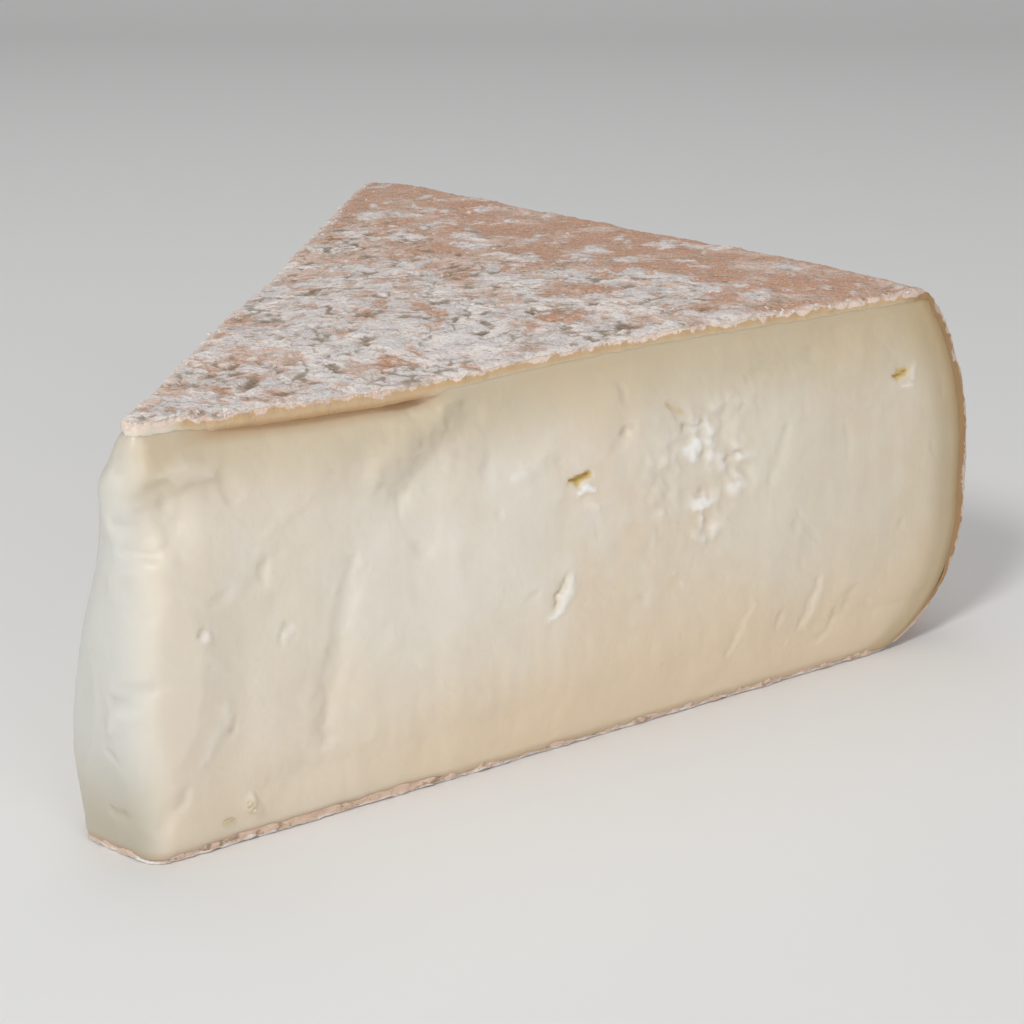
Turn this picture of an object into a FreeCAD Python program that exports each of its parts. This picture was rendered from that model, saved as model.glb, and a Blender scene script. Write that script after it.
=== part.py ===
"""A hand-cut wedge of taleggio, about an eighth of a square washed-rind cheese.

The cheese is modelled whole at one corner, with its bulging rind sides, and then cut as it is
at the counter: one upright cut square to a rind side, one leaning cut that runs to the corner,
and a small blunt end where the two nearly meet. The rind keeps the knife's cuts. The soft
paste between the rinds has moved since: it draws back under each rind edge, swells below it
and slumps at the tip. Rind and paste are grown together, so the part is one solid.

Millimetres. The wedge rests on its bottom rind, +Z up, with the origin at the bottom centre of
its box. The upright cut faces -Y and runs along X, with the tip at its -X end.
"""

import FreeCAD, Part
import math
import os

V = FreeCAD.Vector

# ---- the whole cheese -------------------------------------------------------------------
side_reach = 102.0  # from the wedge's tip to the belly of the rind side that it faces
corner_reach = 110.0  # from the tip to the belly of the neighbouring rind side
thickness = 40.0  # bottom rind to the crown of the top rind
corner_radius = 18.0  # upright corner between two rind sides, at the belly
belly_height = 19.5  # height of the widest part of a side
foot_radius = 14.0  # rounding from a side to the bottom
shoulder_inset = 8.4  # how far the top rind's edge stands inside the belly
shoulder_round = 1.8  # small rounding of that edge
rind = 1.5  # thickness of the rind

# ---- how the top rind has settled -------------------------------------------------------
cut_sag = 0.8  # drop of the top rind at a cut, where nothing holds it up
cut_sag_reach = 12.0  # how far in from the cut that drop fades

# Broad rises and dips of the top rind, placed by their share of the way from the tip to the
# rind side and to the neighbouring side, with their half lengths and height.
top_forms = {
    "dip along the cut near the tip": dict(at=(0.24, 0.02), half=(20.0, 14.0), height=-1.0),
    "dip in the leaning edge": dict(at=(0.45, 0.42), half=(15.0, 12.0), height=-0.6),
    "rise beyond the dip": dict(at=(0.56, 0.15), half=(18.0, 14.0), height=0.3),
    "dip in the middle": dict(at=(0.80, 0.38), half=(16.0, 14.0), height=-0.4),
    "rise at the far corner": dict(at=(0.86, 0.84), half=(20.0, 16.0), height=0.5),
}

# ---- the cuts ---------------------------------------------------------------------------
wedge_angle = 47.4  # between the two long cuts
left_lean = 9.2  # how far the leaning cut runs out towards the bottom, in degrees
left_start = 0.8  # how far the leaning cut passes inside the tip at the top rind
nose_setback = 2.4  # the blunt end's distance from the tip, along the upright cut
nose_turn = 11.0  # how far the blunt end turns towards the upright cut, in degrees
nose_round = 3.4  # rounding of the two upright edges of the blunt end

# ---- the paste between the rinds ----------------------------------------------------------
lip = 0.22  # how far each rind edge stands proud of the paste that meets it
swell = 0.75  # how far the paste then swells, at mid height
swell_fullness = 0.5  # under 1 makes the swelling start sharply below the rind
nose_swell = 1.5  # how far the paste slumps out at the blunt end
nose_swell_reach = 10.0
slump_power = 1.8  # over 1 puts the slump's fullest part low down
drag_wave = 0.05  # shallow waves that the knife left, one after another along a cut
drag_wave_length = 13.0

# Dents and swellings of the cuts. Each is placed by its share of the way from tip to side and
# from bottom to top, with its half length, half height, tilt and depth (out is +).
upright_forms = {
    "hollow under the top rind": dict(at=(0.21, 0.905), half=(11.0, 1.3), tilt=0, depth=-0.7),
    "pocket at the hollow's end": dict(at=(0.285, 0.915), half=(2.4, 1.5), tilt=0, depth=-0.9),
    "swelling left of the ridge": dict(at=(0.19, 0.81), half=(12.0, 4.0), tilt=14, depth=0.6),
    "hollow right of the ridge": dict(at=(0.39, 0.80), half=(8.0, 5.0), tilt=35, depth=-0.55),
    "notch beside the tip": dict(at=(0.05, 0.74), half=(1.5, 3.4), tilt=4, depth=-0.8),
    "bead down the tip": dict(at=(0.0, 0.82), half=(3.5, 4.5), tilt=0, depth=0.6),
    "crumbly hollow": dict(at=(0.64, 0.62), half=(6.5, 6.0), tilt=0, depth=-0.5),
    "fold in the middle": dict(at=(0.20, 0.38), half=(2.6, 9.0), tilt=-12, depth=-0.35),
    "swelling at the foot": dict(at=(0.55, 0.17), half=(32.0, 4.0), tilt=0, depth=0.4),
    "flat at the tip's foot": dict(at=(0.09, 0.28), half=(3.6, 6.0), tilt=-25, depth=-0.3),
}
leaning_forms = {
    "bead down the tip": dict(at=(0.0, 0.82), half=(3.5, 4.5), tilt=0, depth=0.7),
    "hollow under the top rind": dict(at=(0.55, 0.905), half=(14.0, 1.3), tilt=0, depth=-0.8),
    "swelling at mid length": dict(at=(0.42, 0.55), half=(18.0, 8.0), tilt=20, depth=0.5),
    "hollow near the side": dict(at=(0.74, 0.60), half=(9.0, 7.0), tilt=-30, depth=-0.6),
    "swelling at the foot": dict(at=(0.35, 0.20), half=(28.0, 4.0), tilt=0, depth=0.4),
}

# Eyes in the upright cut: small holes, placed in the same way, with half length, half height,
# tilt and how deep they go.
eyes = {
    "middle eye": dict(at=(0.470, 0.655), half=(1.5, 0.65), tilt=20, deep=2.0),
    "eye near the side": dict(at=(0.888, 0.760), half=(1.6, 0.55), tilt=6, deep=2.2),
    "slit below the middle eye": dict(at=(0.446, 0.400), half=(0.55, 1.7), tilt=-28, deep=1.2),
}

margin = 16.0  # how far knives and helper surfaces run past the cheese
nose_points = 7  # points round each upright edge of the blunt end
face_step = 4.0  # spacing of the paste's points along a cut
row_heights = 15  # rows of those points from the bottom rind to the top rind


def bump(along, up, half_along, half_up, tilt=0.0):
    """A smooth hill of height 1 that fades out at about twice its half sizes."""
    c, s = math.cos(math.radians(tilt)), math.sin(math.radians(tilt))
    u, v = along * c + up * s, up * c - along * s
    return math.exp(-((u / half_along) ** 2) - (v / half_up) ** 2)


# ---- the cuts in plan ----------------------------------------------------------------------


def left_direction():
    """Along the leaning cut in plan, away from the tip."""
    return V(math.cos(math.radians(wedge_angle)), math.sin(math.radians(wedge_angle)), 0)


def left_normal():
    """Out of the leaning cut in plan."""
    return V(-math.sin(math.radians(wedge_angle)), math.cos(math.radians(wedge_angle)), 0)


def left_shift(z):
    """How far the leaning cut stands out from a line through the tip, at height z."""
    return (thickness - z) * math.tan(math.radians(left_lean)) - left_start


def nose_direction():
    """Along the blunt end in plan, from the upright cut to the leaning cut."""
    return V(-math.sin(math.radians(nose_turn)), math.cos(math.radians(nose_turn)), 0)


def nose_corners(z):
    """The two ends of the blunt end at height z: on the upright cut and on the leaning cut."""
    right = V(nose_setback, 0, z)
    on_plan = V(nose_setback, 0, 0)
    reach = (left_normal() * left_shift(z) - on_plan).dot(left_normal())
    return right, right + nose_direction() * (reach / nose_direction().dot(left_normal()))


def nose_radius(z):
    """The rounding of the blunt end's edges, kept small enough to fit the end's width."""
    right, left = nose_corners(z)
    turns = V(-1, 0, 0).getAngle(nose_direction()), nose_direction().getAngle(left_direction())
    return min(nose_round, 0.85 * (left - right).Length / sum(math.tan(turn / 2) for turn in turns))


def nose_arc(corner, before, after, radius, count=nose_points):
    """Points round one upright edge of the blunt end, with the outward normal at each."""
    turn = before.getAngle(after)
    start = corner - before * (radius * math.tan(turn / 2))
    inward = V(-before.y, before.x, 0)
    if inward.dot(after) < 0:
        inward = inward * -1
    centre = start + inward * radius
    points = []
    for i in range(count):
        angle = turn * i / (count - 1)
        normal = (inward * -1) * math.cos(angle) + before * math.sin(angle)
        points.append((centre + normal * radius, normal))
    return points


def nose_arcs(z, count=nose_points):
    """The rounded upright edges of the blunt end: by the upright cut and by the leaning cut."""
    right, left = nose_corners(z)
    radius = nose_radius(z)
    right_arc = nose_arc(right, V(-1, 0, 0), nose_direction(), radius, count)
    left_arc = nose_arc(left, nose_direction(), left_direction(), radius, count)
    return right_arc, left_arc


# ---- the whole cheese ---------------------------------------------------------------------


def top_height(x, y):
    """Height of the top rind above a point of the plan."""
    inside_left = -V(x, y, 0).dot(left_normal())
    near_cut = max(math.exp(-max(inside, 0.0) / cut_sag_reach) for inside in (y, inside_left))
    height = thickness - 0.4 - cut_sag * near_cut
    for form in top_forms.values():
        from_x, from_y = x - form["at"][0] * side_reach, y - form["at"][1] * corner_reach
        height += form["height"] * bump(from_x, from_y, *form["half"])
    return height


def below_top(inset):
    """Everything under the top rind's surface, lowered by inset."""
    steps = 16
    xs = [-margin + (side_reach + 2 * margin) * i / steps for i in range(steps + 1)]
    ys = [-margin + (corner_reach + 2 * margin) * j / steps for j in range(steps + 1)]
    surface = Part.BSplineSurface()
    surface.interpolate([[V(x, y, top_height(x, y) - inset) for y in ys] for x in xs])
    return surface.toShape().extrude(V(0, 0, -2 * thickness))


def side_profile(inner, inset):
    """The section of a rind side: a face from inner out to the belly, x out and z up.

    It runs straight up past the top rind, which is cut afterwards to its uneven surface.
    """
    rise = thickness - belly_height
    shoulder_radius = (shoulder_inset**2 + rise**2) / (2 * shoulder_inset)
    radius = shoulder_radius - inset
    arc_top = thickness - inset
    cap = thickness + shoulder_round

    def on_shoulder(z):
        return V(math.sqrt(radius**2 - (z - belly_height) ** 2) - shoulder_radius, 0, z)

    foot = foot_radius - inset
    diagonal = foot * math.sqrt(0.5)
    foot_end = V(-foot_radius, 0, inset)
    foot_mid = V(-foot_radius + diagonal, 0, foot_radius - diagonal)
    foot_top = V(-inset, 0, foot_radius)
    belly = V(-inset, 0, belly_height)
    top = on_shoulder(arc_top)
    edges = [
        Part.makeLine(V(inner, 0, inset), foot_end),
        Part.Arc(foot_end, foot_mid, foot_top).toShape(),
        Part.makeLine(foot_top, belly),
        Part.Arc(belly, on_shoulder((belly_height + arc_top) / 2), top).toShape(),
        Part.makeLine(top, V(top.x, 0, cap)),
        Part.makeLine(V(top.x, 0, cap), V(inner, 0, cap)),
        Part.makeLine(V(inner, 0, cap), V(inner, 0, inset)),
    ]
    return Part.Face(Part.Wire(edges))


def block(inset=0.0):
    """The corner of the whole cheese, with its rind surfaces moved in by inset."""
    corner = V(side_reach - corner_radius, corner_reach - corner_radius, 0)

    facing = side_profile(-side_reach - margin, inset)
    facing.translate(V(side_reach, -margin, 0))
    facing = facing.extrude(V(0, corner.y + margin, 0))

    neighbour = side_profile(-corner_reach - margin, inset)
    neighbour.rotate(V(0, 0, 0), V(0, 0, 1), 90)
    neighbour.translate(V(-margin, corner_reach, 0))
    neighbour = neighbour.extrude(V(corner.x + margin, 0, 0))

    turn = side_profile(-corner_radius, inset)
    turn.translate(V(side_reach, corner.y, 0))
    turn = turn.revolve(corner, V(0, 0, 1), 90)

    whole = facing.fuse([neighbour, turn]).removeSplitter()
    whole = whole.common(below_top(inset))
    if inset < shoulder_round:
        whole = whole.makeFillet(shoulder_round - inset, shoulder_edges(whole))
    return whole


def shoulder_edges(whole):
    """The edges where the top rind meets the rind sides."""
    found = []
    for edge in whole.Edges:
        box = edge.BoundBox
        along_side = box.XMin > side_reach - corner_radius - shoulder_inset
        along_neighbour = box.YMin > corner_reach - corner_radius - shoulder_inset
        high = box.ZMin > belly_height + (thickness - belly_height) * 0.7
        if high and (along_side or along_neighbour) and edge.Length > 2 * shoulder_round:
            found.append(edge)
    return found


# ---- the rind ------------------------------------------------------------------------------


def knife_wedge():
    """The space between the cuts, as the knife made them."""
    outlines = []
    for z in (-margin / 8, thickness + margin / 16):
        arcs = nose_arcs(z, 3)
        right, left = [[point for point, normal in arc] for arc in arcs]
        far_right = V(side_reach + 2 * margin, 0, z)
        far_left = left[2] + left_direction() * (side_reach + corner_reach)
        edges = [
            Part.makeLine(far_right, right[0]),
            Part.Arc(*right).toShape(),
            Part.makeLine(right[2], left[0]),
            Part.Arc(*left).toShape(),
            Part.makeLine(left[2], far_left),
            Part.makeLine(far_left, far_right),
        ]
        outlines.append(Part.Wire(edges))
    return Part.makeLoft(outlines, True, True)


# ---- the paste -----------------------------------------------------------------------------


def paste_share(z):
    """0 at the bottom rind and 1 at the top rind."""
    low, high = rind, thickness - 0.4 - cut_sag - rind
    return min(max((z - low) / (high - low), 0.0), 1.0)


def paste_out(forms, along, along_full, z):
    """How far the paste's surface stands out from the knife's cut."""
    fullness = math.sin(math.pi * paste_share(z)) ** swell_fullness
    out = swell + drag_wave * math.sin(2 * math.pi * (along - 0.4 * z) / drag_wave_length)
    slump = math.sin(math.pi * (1 - paste_share(z)) ** slump_power)
    out += nose_swell * slump * math.exp(-((along / nose_swell_reach) ** 2))
    hollows = 0.0
    for form in forms.values():
        from_centre = along - form["at"][0] * along_full
        above_centre = z - form["at"][1] * thickness
        change = form["depth"] * bump(from_centre, above_centre, *form["half"], form["tilt"])
        if form["depth"] > 0:
            out += change
        else:
            hollows += change
    return fullness * out + hollows - lip


def stations(first, last, full):
    """Distances from first to last along a cut of the full length, about face_step apart."""
    count = int(math.ceil((full + margin) / face_step))
    return [first + (last - first) * i / count for i in range(count + 1)]


def paste_row(z):
    """The paste's outline at one height, from far along the upright cut, round the tip and on
    to far along the leaning cut. Its ends run out through the rind side."""
    right_arc, left_arc = nose_arcs(z)
    left_corner = nose_corners(z)[1]
    right_full = side_reach
    left_full = math.hypot(side_reach, corner_reach)
    row = []
    for along in reversed(stations(right_arc[0][0].x + nose_round, right_full + margin, right_full)):
        row.append((V(along, 0, z), V(0, -1, 0), upright_forms, along, right_full))
    for point, normal in right_arc:
        row.append((point, normal, upright_forms, point.x, right_full))
    for point, normal in left_arc:
        along = max((point - left_corner).dot(left_direction()), 0.0)
        row.append((point, normal, leaning_forms, along, left_full))
    first = (left_arc[-1][0] - left_corner).dot(left_direction()) + nose_round
    for along in stations(first, left_full + margin, left_full):
        point = left_corner + left_direction() * along
        row.append((point, left_normal(), leaning_forms, along, left_full))
    return [point + normal * paste_out(forms, along, full, z) for point, normal, forms, along, full in row]


def paste_heights():
    """Heights of the rows, closer together where the paste turns in under the rinds."""
    low, high = rind, thickness - 0.4 - cut_sag - rind
    inner = []
    for i in range(row_heights + 1):
        share = 0.5 - 0.5 * math.cos(math.pi * i / row_heights)
        inner.append(low + (high - low) * share)
    return [-margin / 4, -margin / 8, 0.0] + inner + [thickness, thickness + margin / 16]


def paste_space():
    """The space inside the paste's soft outline, running out past the rind on every side."""
    surface = Part.BSplineSurface()
    surface.interpolate([paste_row(z) for z in paste_heights()])
    slab = Part.makeBox(
        side_reach + 1.5 * margin,
        corner_reach + 1.5 * margin,
        thickness + margin / 8,
        V(-margin, -margin, -margin / 8),
    )
    pieces = slab.generalFuse([surface.toShape()])[0].Solids
    heart = V(side_reach * 0.6, side_reach * 0.2, thickness / 2)
    return [piece for piece in pieces if piece.isInside(heart, 0.01, False)][0]


# ---- eyes ----------------------------------------------------------------------------------


def eye(at, half, tilt, deep):
    """A small lens-shaped hole, sunk into the upright cut."""
    stretch = FreeCAD.Matrix()
    stretch.scale(half[0], deep, half[1])
    ball = Part.makeSphere(1.0).transformGeometry(stretch)
    ball.rotate(V(0, 0, 0), V(0, 1, 0), -tilt)
    x, z = at[0] * side_reach, at[1] * thickness
    ball.translate(V(x, -paste_out(upright_forms, x, side_reach, z), z))
    return ball


# ---- the wedge -----------------------------------------------------------------------------


def cheese_wedge():
    core = block(rind)
    shell = block().cut(core)
    cut_rind = shell.common(knife_wedge())
    paste = core.common(paste_space())
    wedge = cut_rind.fuse(paste).cut([eye(**one) for one in eyes.values()])
    return wedge.Solids[0]


def centred(shape):
    """The shape with the bottom centre of its box at the origin."""
    box = shape.optimalBoundingBox(False, False)
    shape.translate(V(-(box.XMin + box.XMax) / 2, -(box.YMin + box.YMax) / 2, -box.ZMin))
    return shape


wedge = centred(cheese_wedge())
os.makedirs("parts", exist_ok=True)
wedge.exportStep("parts/cheese_wedge.step")
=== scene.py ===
import math
import bpy
import bmesh
import numpy as np
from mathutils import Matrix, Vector, geometry


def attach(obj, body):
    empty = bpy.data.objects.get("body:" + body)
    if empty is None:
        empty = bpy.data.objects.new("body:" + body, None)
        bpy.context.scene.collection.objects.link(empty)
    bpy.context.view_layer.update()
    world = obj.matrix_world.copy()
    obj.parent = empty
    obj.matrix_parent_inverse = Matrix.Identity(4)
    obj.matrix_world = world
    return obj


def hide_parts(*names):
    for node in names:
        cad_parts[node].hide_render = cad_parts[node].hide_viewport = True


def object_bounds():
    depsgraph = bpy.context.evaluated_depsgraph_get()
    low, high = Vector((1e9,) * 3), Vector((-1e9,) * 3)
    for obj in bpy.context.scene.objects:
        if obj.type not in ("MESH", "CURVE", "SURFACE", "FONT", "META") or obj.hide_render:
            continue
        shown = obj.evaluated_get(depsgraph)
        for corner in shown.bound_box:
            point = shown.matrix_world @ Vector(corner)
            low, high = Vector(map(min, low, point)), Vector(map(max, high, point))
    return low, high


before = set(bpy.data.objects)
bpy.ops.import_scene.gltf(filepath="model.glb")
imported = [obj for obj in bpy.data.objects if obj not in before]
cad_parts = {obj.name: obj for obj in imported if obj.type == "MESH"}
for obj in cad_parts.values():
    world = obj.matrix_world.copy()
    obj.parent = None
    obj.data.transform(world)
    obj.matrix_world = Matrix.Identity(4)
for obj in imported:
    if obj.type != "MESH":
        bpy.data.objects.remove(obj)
cadLow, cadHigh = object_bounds()
rng = np.random.default_rng(7)  # spreads the points inside the rind's flat parts

# Sizes of the wedge in millimetres. Shapes are worked out with the tip at the origin, the upright
# cut along +X and the neighbouring side towards +Y, and moved into the row's frame at the end.
wedge = dict(
    sideReach=102.0, cornerReach=110.0, thickness=40.0, cornerRadius=18.0, bellyHeight=19.5,
    footRadius=14.0, shoulderInset=8.4, shoulderBlend=1.6, rind=1.5,
    topDrop=0.4, cutSag=0.8, cutSagReach=12.0,
    angle=math.radians(47.4), lean=math.radians(9.2), leftStart=0.8,
    noseSetback=2.4, noseTurn=math.radians(11.0), noseRound=3.4, pasteNoseRound=2.2,
    lipFrom=(5.0, 12.0), lipTo=(34.0, 29.0),
)
# Low swells and dips of the top: middle in shares of the reach, half widths and height.
topForms = [
    (0.24, 0.02, 20.0, 14.0, -1.0), (0.45, 0.42, 15.0, 12.0, -0.6),
    (0.56, 0.15, 18.0, 14.0, 0.3), (0.80, 0.38, 16.0, 14.0, -0.4),
    (0.86, 0.84, 20.0, 16.0, 0.5),
]
leftDirection = np.array([math.cos(wedge["angle"]), math.sin(wedge["angle"])])
leftNormal = np.array([-math.sin(wedge["angle"]), math.cos(wedge["angle"])])
noseDirection = np.array([-math.sin(wedge["noseTurn"]), math.cos(wedge["noseTurn"])])
noseNormal = np.array([-math.cos(wedge["noseTurn"]), -math.sin(wedge["noseTurn"])])
cornerCentre = np.array([wedge["sideReach"], wedge["cornerReach"]]) - wedge["cornerRadius"]
pasteHigh = wedge["thickness"] - wedge["topDrop"] - wedge["cutSag"] - wedge["rind"]

# The solid's own corner points give the row's frame: the belly of the side is its highest x,
# and the top rind's cut is the lowest y above the paste.
topRindFrom = 0.0378
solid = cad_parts["cheese_wedge"]
cutPlane = min(v.co.y for v in solid.data.vertices if v.co.z > topRindFrom)
rowShift = np.array([cadHigh.x * 1000 - wedge["sideReach"], cutPlane * 1000, 0.0])


def toRow(points):
    return np.clip((points + rowShift) / 1000, np.array(cadLow), np.array(cadHigh))


def latticeValue(cell, seed):
    # A fixed number from 0 to 1 for each whole cell.
    h = cell[..., 0] * 374761393 + cell[..., 1] * 668265263 + cell[..., 2] * 1440662683 + seed * 982451653
    h = h & 0xFFFFFFFF
    h = ((h ^ (h >> 13)) * 1274126177) & 0xFFFFFFFF
    h = ((h ^ (h >> 16)) * 2246822519) & 0xFFFFFFFF
    return ((h ^ (h >> 15)) & 0xFFFFFF) / 0xFFFFFF


corners = np.array([[i, j, k] for i in (0, 1) for j in (0, 1) for k in (0, 1)])


def noise(points, size, seed=0):
    # Smooth noise from about -1 to 1, with bumps of that size.
    p = np.asarray(points, dtype=float) / size
    base = np.floor(p).astype(np.int64)
    f = p - base
    w = f * f * f * (f * (f * 6 - 15) + 10)
    total = np.zeros(len(p))
    for corner in corners:
        cell = base + corner
        gradient = np.stack([latticeValue(cell, seed * 3 + n) * 2 - 1 for n in range(3)], axis=1)
        weight = np.prod(np.where(corner, w, 1 - w), axis=1)
        total += weight * np.sum(gradient * (f - corner), axis=1)
    return total * 1.6


def fractal(points, size, octaves, seed=0, gain=0.5):
    total = np.zeros(len(points))
    strength = 1.0
    for octave in range(octaves):
        total += strength * noise(points, size / 2.03**octave, seed + octave * 17)
        strength *= gain
    return total


def cells(points, size, seed=0):
    # Distances to the nearest two cell middles, and the nearest cell's own number.
    p = np.asarray(points, dtype=float) / size
    base = np.floor(p).astype(np.int64)
    near = np.full(len(p), 9.0)
    second = np.full(len(p), 9.0)
    own = np.zeros(len(p))
    for i in (-1, 0, 1):
        for j in (-1, 0, 1):
            for k in (-1, 0, 1):
                cell = base + np.array([i, j, k])
                spot = np.stack([latticeValue(cell, seed * 5 + n) for n in range(3)], axis=1)
                away = np.linalg.norm(cell + spot - p, axis=1)
                closer = away < near
                second = np.where(closer, near, np.minimum(second, away))
                own = np.where(closer, latticeValue(cell, seed * 5 + 4), own)
                near = np.where(closer, away, near)
    return near, second, own


def smoothStep(low, high, value):
    t = np.clip((value - low) / (high - low), 0, 1)
    return t * t * (3 - 2 * t)


def smoothMin(a, b, width):
    h = np.clip(0.5 + 0.5 * (b - a) / width, 0, 1)
    return b + (a - b) * h - width * h * (1 - h)


def bump(along, up, half, tilt=0.0):
    c, s = math.cos(math.radians(tilt)), math.sin(math.radians(tilt))
    u, v = along * c + up * s, up * c - along * s
    return np.exp(-((u / half[0]) ** 2) - (v / half[1]) ** 2)


def leftShift(z):
    # How far the leaning cut lies out of its line at a height.
    return (wedge["thickness"] - z) * math.tan(wedge["lean"]) - wedge["leftStart"]


def topHeight(x, y):
    insideLeft = -(x * leftNormal[0] + y * leftNormal[1])
    inside = np.maximum(np.minimum(y, insideLeft), 0)
    height = wedge["thickness"] - wedge["topDrop"] - wedge["cutSag"] * np.exp(-inside / wedge["cutSagReach"])
    for atX, atY, halfX, halfY, rise in topForms:
        fromX, fromY = x - atX * wedge["sideReach"], y - atY * wedge["cornerReach"]
        height = height + rise * bump(fromX, fromY, (halfX, halfY))
    return height


def sideInset(x, y):
    fromCentre = np.stack([x - cornerCentre[0], y - cornerCentre[1]], axis=-1)
    turned = np.hypot(np.maximum(fromCentre[..., 0], 0), np.maximum(fromCentre[..., 1], 0))
    flat = np.maximum(fromCentre[..., 0], fromCentre[..., 1])
    return wedge["cornerRadius"] - np.where(flat > 0, turned, flat)


def shoulderRadius():
    rise = wedge["thickness"] - wedge["bellyHeight"]
    return (wedge["shoulderInset"] ** 2 + rise**2) / (2 * wedge["shoulderInset"])


def shoulderHeight(inset):
    radius = shoulderRadius()
    short = radius - np.minimum(inset, radius)
    return wedge["bellyHeight"] + np.sqrt(np.maximum(radius**2 - short**2, 0))


def profileInset(z):
    radius, foot = shoulderRadius(), wedge["footRadius"]
    above = np.maximum(z - wedge["bellyHeight"], 0)
    below = np.clip(foot - z, 0, foot)
    return radius - np.sqrt(radius**2 - above**2) + foot - np.sqrt(foot**2 - below**2)


def skinTop(x, y):
    return smoothMin(topHeight(x, y), shoulderHeight(sideInset(x, y)), wedge["shoulderBlend"])


def underLip(x):
    # Where the paste has drawn back from under the top rind, along the upright cut.
    return smoothStep(*wedge["lipFrom"], x) * smoothStep(*wedge["lipTo"], x)


def noseArcs(z, radius, count):
    # The two rounded corners of the blunt end at a height, each with its way out.
    right = np.array([wedge["noseSetback"], 0.0])
    reach = (leftShift(z) - right @ leftNormal) / (noseDirection @ leftNormal)
    left = right + noseDirection * reach
    turns = []
    for before, after in (((-1.0, 0.0), noseDirection), (noseDirection, leftDirection)):
        turns.append(math.acos(np.clip(np.dot(before, after), -1, 1)))
    width = np.linalg.norm(left - right)
    radius = min(radius, 0.85 * width / sum(math.tan(turn / 2) for turn in turns))
    arcs = []
    for corner, before, after, turn in (
        (right, np.array([-1.0, 0.0]), noseDirection, turns[0]),
        (left, noseDirection, leftDirection, turns[1]),
    ):
        start = corner - before * radius * math.tan(turn / 2)
        inward = np.array([-before[1], before[0]])
        inward = inward if inward @ after > 0 else -inward
        angles = np.linspace(0, turn, count)[:, None]
        normals = -inward * np.cos(angles) + before * np.sin(angles)
        arcs.append((start + inward * radius + normals * radius, normals))
    return arcs


def cutPath(z, radius, rightEnd, leftEnd, step):
    # From rightEnd along the upright cut, round the blunt end and along the leaning cut.
    (rightArc, rightNormals), (leftArc, leftNormals) = noseArcs(z, radius, 9)
    runs = [
        (np.array([rightEnd, 0.0]), rightArc[0], np.array([0.0, -1.0])),
        (rightArc[-1], leftArc[0], noseNormal),
        (leftArc[-1], leftDirection * leftEnd + leftNormal * leftShift(z), leftNormal),
    ]
    points, normals = [], []
    for n, (a, b, normal) in enumerate(runs):
        count = max(int(round(np.linalg.norm(b - a) / step)), 2)
        share = np.linspace(0, 1, count + 1)[:, None]
        points.append(a + (b - a) * share)
        normals.append(np.repeat(normal[None], count + 1, axis=0))
        if n < 2:
            arc, arcNormals = ((rightArc, rightNormals), (leftArc, leftNormals))[n]
            points.append(arc[1:-1])
            normals.append(arcNormals[1:-1])
    return np.concatenate(points), np.concatenate(normals)


def fillPatch(rim, spacing):
    # Triangles over a closed rim in plan, with points inside at the spacing.
    low, high = rim.min(axis=0), rim.max(axis=0)
    xs = np.arange(low[0], high[0], spacing)
    ys = np.arange(low[1], high[1], spacing * 0.866)
    gx, gy = np.meshgrid(xs, ys)
    gx = gx + (np.arange(len(ys)) % 2)[:, None] * spacing / 2
    inner = np.column_stack([gx.ravel(), gy.ravel()])
    inner = inner + rng.uniform(-0.18, 0.18, inner.shape) * spacing
    inner = inner[insideRim(inner, rim)]
    inner = inner[rimDistance(inner, rim) > spacing * 0.6]
    every = np.concatenate([rim, inner])
    edges = [(i, (i + 1) % len(rim)) for i in range(len(rim))]
    made = geometry.delaunay_2d_cdt([Vector(p) for p in every], edges, [], 1, 1e-7, True)
    assert len(made[0]) == len(every)
    order = [source[0] for source in made[3]]
    faces = np.array([[order[i] for i in face] for face in made[2]])
    a = every[faces[:, 1]] - every[faces[:, 0]]
    b = every[faces[:, 2]] - every[faces[:, 0]]
    whole = np.abs(a[:, 0] * b[:, 1] - a[:, 1] * b[:, 0]) > 1e-6
    return every, [tuple(int(i) for i in face) for face in faces[whole]]


def insideRim(points, rim):
    x, y = points[:, 0], points[:, 1]
    inside = np.zeros(len(points), dtype=bool)
    ends = np.roll(rim, -1, axis=0)
    for (ax, ay), (bx, by) in zip(rim, ends):
        if ay == by:
            continue
        crosses = (ay > y) != (by > y)
        inside ^= crosses & (x < (bx - ax) * (y - ay) / (by - ay) + ax)
    return inside


def rimDistance(points, rim):
    # Rough distance to the nearest rim point, by buckets.
    size, most = 2.0, 9.0
    buckets = {}
    for index, cell in enumerate(np.floor(rim / size).astype(int)):
        buckets.setdefault(tuple(cell), []).append(index)
    found = np.full(len(points), most)
    cellsOf = np.floor(points / size).astype(int)
    order = np.lexsort((cellsOf[:, 1], cellsOf[:, 0]))
    start = 0
    while start < len(order):
        cell = cellsOf[order[start]]
        end = start
        while end < len(order) and (cellsOf[order[end]] == cell).all():
            end += 1
        around = [(cell[0] + dx, cell[1] + dy) for dx in (-1, 0, 1) for dy in (-1, 0, 1)]
        near = [i for spot in around for i in buckets.get(spot, [])]
        if near:
            block = points[order[start:end]]
            away = np.linalg.norm(block[:, None] - rim[near][None], axis=2).min(axis=1)
            found[order[start:end]] = np.minimum(away, most)
        start = end
    return found


def place(name, data):
    made = bpy.data.objects.new(name, data)
    bpy.context.scene.collection.objects.link(made)
    return made


def aim(thing, direction):
    thing.rotation_mode = "QUATERNION"
    thing.rotation_quaternion = direction.to_track_quat("-Z", "Y")


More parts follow.
